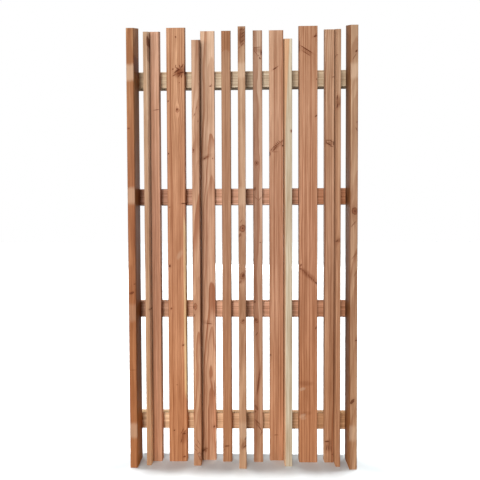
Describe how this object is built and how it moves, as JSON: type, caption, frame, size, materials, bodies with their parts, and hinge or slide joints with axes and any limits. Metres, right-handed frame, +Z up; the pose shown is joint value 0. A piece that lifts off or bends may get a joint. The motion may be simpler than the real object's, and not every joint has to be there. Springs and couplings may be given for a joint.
{
  "type": "slatted fence panel",
  "caption": "Upright timber fence panel of mixed flat and on-edge slats with sloping tops, screwed from behind to horizontal rails.",
  "frame": {"origin": "bottom centre of the panel's box, on the surface that the slats stand on", "axes": "+Z up along the slats; +X to the right seen from the slatted front; +Y from the front towards the rails at the back"},
  "size_m": [0.9148, 0.105, 1.8],
  "materials": {
    "douglas_heartwood": "planed, unfinished",
    "douglas_pink": "planed, unfinished",
    "douglas_sapwood": "planed, unfinished",
    "douglas_rail": "planed, unfinished",
    "screw_steel": "satin"
  },
  "bodies": {
    "root": {"centre_fin": "douglas_heartwood", "left_inner_slat": "douglas_heartwood", "left_thin_slat": "douglas_pink", "left_short_fin": "douglas_heartwood", "left_wide_slat": "douglas_heartwood", "left_narrow_slat": "douglas_pink", "left_thin_fin": "douglas_heartwood", "left_edge_fin": "douglas_heartwood", "right_inner_slat": "douglas_heartwood", "right_thin_slat": "douglas_pink", "right_short_fin": "douglas_sapwood", "right_wide_slat": "douglas_heartwood", "right_narrow_slat": "douglas_pink", "right_thin_fin": "douglas_heartwood", "right_edge_fin": "douglas_heartwood", "bottom_rail": "douglas_rail", "bottom_rail_long_screws": "screw_steel", "bottom_rail_short_screws": "screw_steel", "lower_middle_rail": "douglas_rail", "lower_middle_rail_long_screws": "screw_steel", "lower_middle_rail_short_screws": "screw_steel", "upper_middle_rail": "douglas_rail", "upper_middle_rail_long_screws": "screw_steel", "upper_middle_rail_short_screws": "screw_steel", "top_rail": "douglas_rail", "top_rail_long_screws": "screw_steel", "top_rail_short_screws": "screw_steel"}
  },
  "joints": []
}
